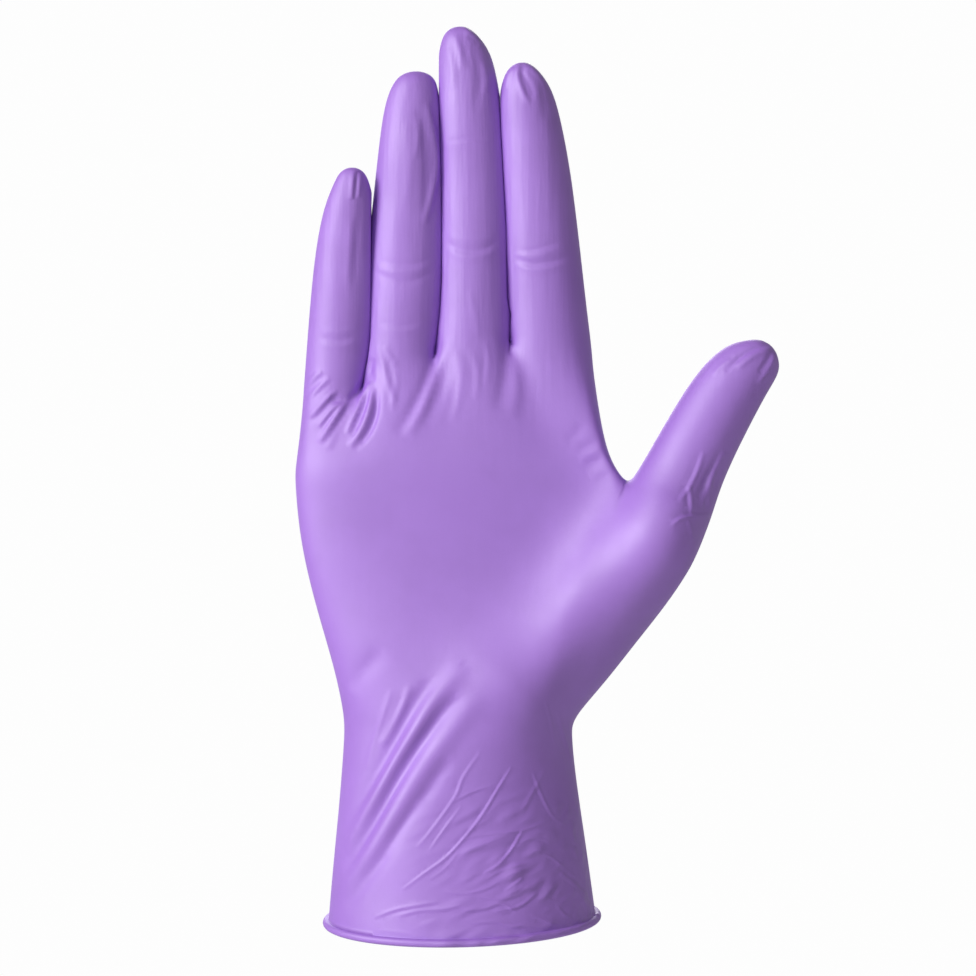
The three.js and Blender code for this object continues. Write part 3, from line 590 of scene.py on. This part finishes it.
def to_triangles(quads):
    return np.concatenate([quads[:, [0, 1, 2]], quads[:, [0, 2, 3]]])


def normals_of(points, triangles):
    a, b, c = (points[triangles[:, i]] for i in range(3))
    across = np.cross(b - a, c - a)
    normals = np.zeros_like(points)
    for i in range(3):
        for axis in range(3):
            normals[:, axis] += np.bincount(triangles[:, i], across[:, axis], len(points))
    return normals / (np.linalg.norm(normals, axis=1, keepdims=True) + TINY)


def seen_from_front(points):
    """Where each point stands on the glove's middle plane when it is seen from the camera's place."""
    scale = CAMERA_DISTANCE / (CAMERA_DISTANCE + points[:, 1])
    return np.stack([
        CAMERA_X + (points[:, 0] - CAMERA_X) * scale,
        CAMERA_Z + (points[:, 2] - CAMERA_Z) * scale,
    ], axis=1)


def seen_flat(points):
    """Where each point stands on the middle plane when it is seen straight on."""
    return points[:, [0, 2]]


def rounded(line, step=1.0):
    """A smooth curve through a line's places, as places about a step apart."""
    p = np.array(line, float)
    p = np.vstack([2 * p[0] - p[1], p, 2 * p[-1] - p[-2]])
    out = []
    for i in range(1, len(p) - 2):
        count = max(2, int(np.linalg.norm(p[i + 1] - p[i]) / step) + 1)
        t = np.linspace(0, 1, count, endpoint=False)[:, None]
        a, b, c, d = p[i - 1], p[i], p[i + 1], p[i + 2]
        square = (2 * a - 5 * b + 4 * c - d) * t ** 2
        cube = (3 * b - a - 3 * c + d) * t ** 3
        out.append(0.5 * (2 * b + (c - a) * t + square + cube))
    out.append(p[-2][None])
    return np.vstack(out)


def beside_line(places, line):
    """For each place: its signed distance from the line, and how far along it is, from 0 to 1."""
    starts, ends = line[:-1], line[1:]
    way = ends - starts
    length = np.linalg.norm(way, axis=1)
    before = np.concatenate([[0], np.cumsum(length)])
    best = np.full(len(places), np.inf)
    signed = np.zeros(len(places))
    along = np.zeros(len(places))
    for i in range(len(way)):
        off = places - starts[i]
        t = np.clip(off @ way[i] / (length[i] ** 2 + TINY), 0, 1)
        gap = off - t[:, None] * way[i]
        distance = np.linalg.norm(gap, axis=1)
        side = np.sign(way[i][0] * off[:, 1] - way[i][1] * off[:, 0])
        nearer = distance < best
        best[nearer] = distance[nearer]
        signed[nearer] = (distance * side)[nearer]
        along[nearer] = (before[i] + t * length[i])[nearer]
    return signed, along / before[-1]


def press_together(points, quads, parts):
    """Flattens neighbouring fingers against each other along their contact lines."""
    for i, line in enumerate(CONTACTS):
        heights, places = zip(*line)
        for finger, side in ((i, 1), (i + 1, -1)):
            own = np.unique(quads[parts == finger])
            limit = np.interp(points[own, 2], heights, places) - side * CONTACT_GAP
            over = (points[own, 0] - limit) * side > 0
            points[own[over], 0] = limit[over]


def swollen(points, normals):
    """The points with the swell of the thumb's muscle on the palm side."""
    signed = beside_line(seen_flat(points), np.array(THENAR_LINE))[0]
    facing = np.clip(-normals[:, 1], 0, 1)
    rise = THENAR_RISE * np.exp(-((signed / THENAR_REACH) ** 2)) * facing
    return points + normals * rise[:, None]


def smooth_hand(net, levels):
    """The film without its folds, as points, normals and triangles."""
    points, quads, parts = smooth_surface(net, levels)
    press_together(points, quads, parts)
    triangles = to_triangles(quads)
    points = swollen(points, normals_of(points, triangles))
    return points, normals_of(points, triangles), triangles


def fold_lines(folds):
    return [(reach, rise, dip, rounded(places)) for reach, rise, dip, places in folds]


def near_line(flat, line, margin):
    """Which places lie in the line's bounding box, made larger by the margin."""
    return np.all((flat > line.min(axis=0) - margin) & (flat < line.max(axis=0) + margin), axis=1)


def fold_rise(flat, folds):
    """How far the folds raise each place of the film."""
    total = np.zeros(len(flat))
    for reach, rise, dip, line in folds:
        near = near_line(flat, line, reach * FOLD_REACHES)
        if not near.any():
            continue
        signed, along = beside_line(flat[near], line)
        ends = np.sin(np.pi * np.clip(along, 0, 1)) ** END_POWER
        profile = np.exp(-((signed / reach) ** 2))
        if dip:
            aside = signed + np.sign(dip) * DIP_ASIDE * reach
            profile -= abs(dip) * np.exp(-((aside / reach) ** 2))
        total[near] += rise * profile * ends
    return total


def wanted_length(flat, folds):
    """How long an edge may be at each place, so that the mesh is fine along the folds."""
    wanted = np.full(len(flat), PLAIN_EDGE)
    for reach, _, _, line in folds:
        margin = reach * FINE_REACHES
        near = near_line(flat, line, margin)
        if not near.any():
            continue
        close = np.abs(beside_line(flat[near], line)[0]) < margin
        own = wanted[near]
        own[close] = np.minimum(own[close], max(FINEST_EDGE, reach / EDGES_PER_REACH))
        wanted[near] = own
    return wanted


def split_triangles(triangles, marks):
    """Splits each triangle at the new points on its edges. The marks are -1 where there is none."""
    count = (marks >= 0).sum(axis=1)
    out = [triangles[count == 0]]
    for turn in range(3):
        t = np.roll(triangles, -turn, axis=1)
        m = np.roll(marks, -turn, axis=1)
        one = (count == 1) & (m[:, 0] >= 0)
        out.append(np.stack([t[one, 0], m[one, 0], t[one, 2]], axis=1))
        out.append(np.stack([m[one, 0], t[one, 1], t[one, 2]], axis=1))
        two = (count == 2) & (m[:, 2] < 0)
        out.append(np.stack([m[two, 0], t[two, 1], m[two, 1]], axis=1))
        out.append(np.stack([t[two, 0], m[two, 0], m[two, 1]], axis=1))
        out.append(np.stack([t[two, 0], m[two, 1], t[two, 2]], axis=1))
    three = count == 3
    t, m = triangles[three], marks[three]
    out.append(np.stack([t[:, 0], m[:, 0], m[:, 2]], axis=1))
    out.append(np.stack([m[:, 0], t[:, 1], m[:, 1]], axis=1))
    out.append(np.stack([m[:, 2], m[:, 1], t[:, 2]], axis=1))
    out.append(m)
    return np.concatenate(out)


def refine(points, normals, triangles, folds):
    """Splits the edges that are too long for the folds, and keeps the surface smooth."""
    edges = np.sort(triangles[:, [0, 1, 1, 2, 2, 0]].reshape(-1, 2), axis=1)
    edges, index = np.unique(edges, axis=0, return_inverse=True)
    a, b = edges[:, 0], edges[:, 1]
    length = np.linalg.norm(points[a] - points[b], axis=1)
    middle = (points[a] + points[b]) / 2
    front = (normals[a, 1] + normals[b, 1]) < FRONT_LIMIT
    split = front & (length > EDGE_SLACK * wanted_length(seen_from_front(middle), folds))
    lift_a = np.sum((middle - points[a]) * normals[a], axis=1, keepdims=True) * normals[a]
    lift_b = np.sum((middle - points[b]) * normals[b], axis=1, keepdims=True) * normals[b]
    middle = middle - BOW_SHARE * (lift_a + lift_b)
    normal = normals[a] + normals[b]
    normal /= np.linalg.norm(normal, axis=1, keepdims=True)
    fresh = np.full(len(edges), -1)
    fresh[split] = len(points) + np.arange(split.sum())
    points = np.vstack([points, middle[split]])
    normals = np.vstack([normals, normal[split]])
    return points, normals, split_triangles(triangles, fresh[index.reshape(-1, 3)])


def folded(points, normals, front_folds, back_folds):
    """The points with the folds raised out of the smooth film."""
    front = fold_rise(seen_from_front(points), front_folds) * np.clip(-TURN_FADE * normals[:, 1], 0, 1)
    back = fold_rise(seen_flat(points), back_folds) * np.clip(TURN_FADE * normals[:, 1], 0, 1)
    rim_height = points[:, 0] * math.tan(CUFF_LEAN_SIDE) + points[:, 1] * math.tan(CUFF_LEAN_FRONT)
    above_edge = smooth(points[:, 2] - rim_height, *EDGE_FADE)
    return points + normals * ((front + back) * above_edge)[:, None]


def open_edge(triangles):
    """The points of the open edge, in order round the cuff."""
    sides = np.concatenate([triangles[:, [0, 1]], triangles[:, [1, 2]], triangles[:, [2, 0]]])
    both = {(a, b) for a, b in sides.tolist()}
    following = {a: b for a, b in both if (b, a) not in both}
    first = min(following)
    rim = [first]
    while following[rim[-1]] != first:
        rim.append(following[rim[-1]])
    return np.array(rim)


def angles_round(points, row):
    """Each point's angle round the cuff, growing along the row."""
    turn = np.unwrap(np.arctan2(points[row, 1], points[row, 0]))
    return turn * np.sign(turn[-1] - turn[0])


def zip_rows(points, above, below):
    """Triangles between two closed rows of points that need not have the same number of points."""
    whole = 2 * np.pi
    top, low = angles_round(points, above), angles_round(points, below)
    start = int(np.argmin(np.abs((low - top[0] + np.pi) % whole - np.pi)))
    below = np.roll(below, -start)
    low = angles_round(points, below)
    low += whole * np.round((top[0] - low[0]) / whole)
    top_count, low_count = len(above), len(below)
    out = []
    i = j = 0
    while i < top_count or j < low_count:
        next_top = top[i + 1] if i + 1 < top_count else top[0] + whole
        next_low = low[j + 1] if j + 1 < low_count else low[0] + whole
        a, b = above[i % top_count], below[j % low_count]
        if j >= low_count or (i < top_count and next_top <= next_low):
            out.append((above[(i + 1) % top_count], a, b))
            i += 1
        else:
            out.append((a, b, below[(j + 1) % low_count]))
            j += 1
    return np.array(out)


def bead_rows(place, normals):
    """The rolled bead's rows of points, from the outer face at the cuff's edge to the inner face."""
    radius = BEAD_DIAMETER / 2
    outward = BEAD_STANDS_OUT - radius
    downward = math.sqrt(radius ** 2 - outward ** 2)
    start = math.atan2(-downward, -outward)
    tangent = np.roll(place, -1, axis=0) - np.roll(place, 1, axis=0)
    down = np.cross(tangent, normals)
    down /= np.linalg.norm(down, axis=1, keepdims=True)
    if down[:, 2].mean() > 0:
        down = -down
    rows = []
    for step in range(1, BEAD_STEPS + 1):
        angle = mix(start, math.pi, step / BEAD_STEPS)
        out = outward + radius * math.cos(angle)
        rows.append(place + normals * out + down * (downward + radius * math.sin(angle)))
    return rows


def build_film():
    """The whole film as points and triangles: the outer face, the bead, the inner face and their seam."""
    net = build_net()
    front_folds = fold_lines(FRONT_FOLDS)
    back_folds = fold_lines(BACK_FOLDS)
    points, normals, triangles = smooth_hand(net, OUTER_LEVELS)
    for _ in range(SPLIT_ROUNDS):
        points, normals, triangles = refine(points, normals, triangles, front_folds)
    outside = folded(points, normals, front_folds, back_folds)
    points, normals, inner_triangles = smooth_hand(net, INNER_LEVELS)
    inside = folded(points, normals, front_folds, back_folds) - FILM_SHOWN * normals

    rim = open_edge(triangles)
    after = np.roll(np.arange(len(rim)), -1)
    all_points = [outside]
    all_faces = [triangles]
    total = len(outside)
    above = rim
    for ring in bead_rows(outside[rim], normals_of(outside, triangles)[rim]):
        row = total + np.arange(len(rim))
        all_faces.append(np.stack([above[after], above, row], axis=1))
        all_faces.append(np.stack([above[after], row, row[after]], axis=1))
        all_points.append(ring)
        total += len(rim)
        above = row
    everything = np.vstack(all_points + [inside])
    all_faces.append(inner_triangles[:, ::-1] + total)
    all_faces.append(zip_rows(everything, above, open_edge(inner_triangles) + total))
    return everything, np.concatenate(all_faces)


def make_object(name, points, faces):
    """A smooth mesh object from points in millimetres."""
    mesh = bpy.data.meshes.new(name)
    mesh.from_pydata((points * MM).tolist(), [], faces.tolist())
    mesh.polygons.foreach_set("use_smooth", [True] * len(mesh.polygons))
    made = bpy.data.objects.new(name, mesh)
    bpy.context.scene.collection.objects.link(made)
    return made


film = make_object("nitrile_film", *build_film())
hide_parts("glove")
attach(film, "root")


# The nitrile's colour where the film is thicker and thinner, and how rough its sheen is, from and to
DEEP_LAVENDER = (0.335, 0.14, 0.63, 1)
PALE_LAVENDER = (0.365, 0.157, 0.68, 1)
ROUGHNESS = (0.56, 0.62)
NITRILE_IOR = 1.65
# The stretch of the noise's values that goes from one end to the other of the colours and the roughness
CLOUD_VALUES = (0.35, 0.65)
SHEEN_VALUES = (0.3, 0.7)
# How fine each noise is: features to a metre
CLOUDS = 45
SHEEN = 60
STREAKS = 420
CRUMPLES = 260
GRAIN = 1500
# How many finer layers a noise has
DETAIL = 2.0
CLOUD_DETAIL = 4.0
# How high the bumps stand, in metres
STREAK_HEIGHT = 0.00035
CRUMPLE_HEIGHT = 0.0013
GRAIN_HEIGHT = 0.00002
# The streaks run up the glove. The crumples are long too, and turned by degrees.
STREAK_STRETCH = (1, 1, 12)
CRUMPLE_STRETCH = (3.2, 1, 1)
CRUMPLE_TURN = -24
# The streaks grow between two heights, from their share on the palm to that on the fingers
STREAK_HEIGHTS = (0.12, 0.17)
STREAK_SHARES = (0.08, 0.6)
# The crumples fade out between two heights up the cuff, and fade in between two places across it
CRUMPLE_HEIGHTS = (0.012, 0.045)
CRUMPLE_PLACES = (-0.018, 0.006)


def noise(tree, place, scale, detail=DETAIL, kind="FBM"):
    texture = tree.nodes.new("ShaderNodeTexNoise")
    texture.noise_type = kind
    texture.inputs["Scale"].default_value = scale
    texture.inputs["Detail"].default_value = detail
    tree.links.new(place, texture.inputs["Vector"])
    return texture.outputs[0]


def turned(tree, place, degrees, scale):
    """The places turned about Y and then stretched, so that a noise runs along a line."""
    mapping = tree.nodes.new("ShaderNodeMapping")
    mapping.vector_type = "TEXTURE"
    mapping.inputs["Rotation"].default_value = (0, math.radians(degrees), 0)
    mapping.inputs["Scale"].default_value = scale
    tree.links.new(place, mapping.inputs["Vector"])
    return mapping.outputs[0]


def mapped(tree, value, low, high, to_low, to_high):
    """The value moved smoothly from one stretch of numbers to another."""
    node = tree.nodes.new("ShaderNodeMapRange")
    node.interpolation_type = "SMOOTHSTEP"
    for name, number in (("From Min", low), ("From Max", high), ("To Min", to_low), ("To Max", to_high)):
        node.inputs[name].default_value = number
    tree.links.new(value, node.inputs["Value"])
    return node.outputs["Result"]


def times(tree, a, b):
    node = tree.nodes.new("ShaderNodeMath")
    node.operation = "MULTIPLY"
    tree.links.new(a, node.inputs[0])
    tree.links.new(b, node.inputs[1])
    return node.outputs[0]


def bump(tree, height, distance, below=None):
    node = tree.nodes.new("ShaderNodeBump")
    node.inputs["Distance"].default_value = distance
    node.inputs["Strength"].default_value = 1.0
    tree.links.new(height, node.inputs["Height"])
    if below:
        tree.links.new(below, node.inputs["Normal"])
    return node.outputs["Normal"]


def nitrile():
    material = bpy.data.materials.new("nitrile")
    material.use_nodes = True
    tree = material.node_tree
    shader = tree.nodes["Principled BSDF"]
    shader.inputs["Specular IOR Level"].default_value = 1.0
    shader.inputs["IOR"].default_value = NITRILE_IOR
    place = tree.nodes.new("ShaderNodeTexCoord").outputs["Object"]
    parts = tree.nodes.new("ShaderNodeSeparateXYZ")
    tree.links.new(place, parts.inputs[0])

    # Clouds in the colour, where the film is a little thicker or thinner
    tint = tree.nodes.new("ShaderNodeMix")
    tint.data_type = "RGBA"
    tint.inputs["A"].default_value = DEEP_LAVENDER
    tint.inputs["B"].default_value = PALE_LAVENDER
    clouds = mapped(tree, noise(tree, place, CLOUDS, CLOUD_DETAIL), *CLOUD_VALUES, 0, 1)
    tree.links.new(clouds, tint.inputs["Factor"])
    tree.links.new(tint.outputs["Result"], shader.inputs["Base Color"])

    # The sheen is uneven
    dull = mapped(tree, noise(tree, place, SHEEN), *SHEEN_VALUES, *ROUGHNESS)
    tree.links.new(dull, shader.inputs["Roughness"])

    # Streaks along the fingers, fine crumples by the cuff's edge, and a fine grain
    streaks = noise(tree, turned(tree, place, 0, STREAK_STRETCH), STREAKS)
    height = parts.outputs["Z"]
    on_fingers = mapped(tree, height, *STREAK_HEIGHTS, *STREAK_SHARES)
    crumples = turned(tree, place, CRUMPLE_TURN, CRUMPLE_STRETCH)
    crumples = noise(tree, crumples, CRUMPLES, kind="RIDGED_MULTIFRACTAL")
    low = mapped(tree, height, *CRUMPLE_HEIGHTS, 1, 0)
    aside = mapped(tree, parts.outputs["X"], *CRUMPLE_PLACES, 0, 1)
    by_edge = times(tree, low, aside)
    surface = bump(tree, times(tree, streaks, on_fingers), STREAK_HEIGHT)
    surface = bump(tree, times(tree, crumples, by_edge), CRUMPLE_HEIGHT, surface)
    surface = bump(tree, noise(tree, place, GRAIN), GRAIN_HEIGHT, surface)
    tree.links.new(surface, shader.inputs["Normal"])
    return material


film.data.materials.append(nitrile())

# The studio, in metres: a pale floor, a white background, and three soft lights
FLOOR_HALF = 1.2
FLOOR_HEIGHT = -0.4
FLOOR_COLOUR = (0.82, 0.82, 0.83, 1)
FLOOR_ROUGHNESS = 0.8
# How bright the white world is to the camera, in reflections, and as light
WORLD_SEEN = 0.985
WORLD_GLOSS = 0.65
WORLD_FILL = 0.08
LIGHTS = [
    # name, place, aim, size, power in watts
    ("key", (-1.45, -0.95, 0.72), (0, 0, 0.09), (0.7, 0.95), 31),
    ("front", (0.1, -1.7, 0.6), (0, 0, 0.11), (1.2, 1.2), 4.6),
    ("back", (-0.1, 1.5, 0.65), (0, 0, 0.1), (0.9, 0.9), 13),
]

corners = [
    (-FLOOR_HALF, -FLOOR_HALF, FLOOR_HEIGHT),
    (FLOOR_HALF, -FLOOR_HALF, FLOOR_HEIGHT),
    (FLOOR_HALF, FLOOR_HALF, FLOOR_HEIGHT),
    (-FLOOR_HALF, FLOOR_HALF, FLOOR_HEIGHT),
]
floor_mesh = bpy.data.meshes.new("floor")
floor_mesh.from_pydata(corners, [], [(0, 1, 2, 3)])
floor = bpy.data.objects.new("floor", floor_mesh)
bpy.context.scene.collection.objects.link(floor)
pale = bpy.data.materials.new("pale_floor")
pale.use_nodes = True
pale_shader = pale.node_tree.nodes["Principled BSDF"]
pale_shader.inputs["Base Color"].default_value = FLOOR_COLOUR
pale_shader.inputs["Roughness"].default_value = FLOOR_ROUGHNESS
floor_mesh.materials.append(pale)


def background(tree, strength):
    node = tree.nodes.new("ShaderNodeBackground")
    node.inputs["Color"].default_value = (1, 1, 1, 1)
    node.inputs["Strength"].default_value = strength
    return node.outputs[0]


def chosen(tree, ray, otherwise, taken):
    """The taken background for one kind of ray, and the other one for the rest."""
    node = tree.nodes.new("ShaderNodeMixShader")
    tree.links.new(ray, node.inputs["Fac"])
    tree.links.new(otherwise, node.inputs[1])
    tree.links.new(taken, node.inputs[2])
    return node.outputs[0]


scene = bpy.context.scene
world = bpy.data.worlds.new("studio")
scene.world = world
world.use_nodes = True
tree = world.node_tree
tree.nodes.clear()
path = tree.nodes.new("ShaderNodeLightPath")
fill, gloss = background(tree, WORLD_FILL), background(tree, WORLD_GLOSS)
soft = chosen(tree, path.outputs["Is Glossy Ray"], fill, gloss)
whole = chosen(tree, path.outputs["Is Camera Ray"], soft, background(tree, WORLD_SEEN))
output = tree.nodes.new("ShaderNodeOutputWorld")
tree.links.new(whole, output.inputs["Surface"])


def area_light(name, place, aim, size, power):
    data = bpy.data.lights.new(name, "AREA")
    data.shape = "RECTANGLE"
    data.size, data.size_y = size
    data.energy = power
    light = bpy.data.objects.new(name, data)
    light.location = place
    light.rotation_euler = (Vector(aim) - Vector(place)).to_track_quat("-Z", "Y").to_euler()
    scene.collection.objects.link(light)


for row in LIGHTS:
    area_light(*row)

camera_data = bpy.data.cameras.new("camera")
camera_data.sensor_width = SENSOR_WIDTH
camera_data.lens = SENSOR_WIDTH * CAMERA_DISTANCE / VIEW_WIDTH
camera_data.clip_start = 0.05
camera_data.clip_end = 50
camera = bpy.data.objects.new("camera", camera_data)
camera.location = (CAMERA_X * MM, -CAMERA_DISTANCE * MM, CAMERA_Z * MM)
camera.rotation_euler = (math.radians(90), 0, 0)
scene.collection.objects.link(camera)
scene.camera = camera
scene.view_settings.view_transform = "Standard"

bpy.context.view_layer.update()
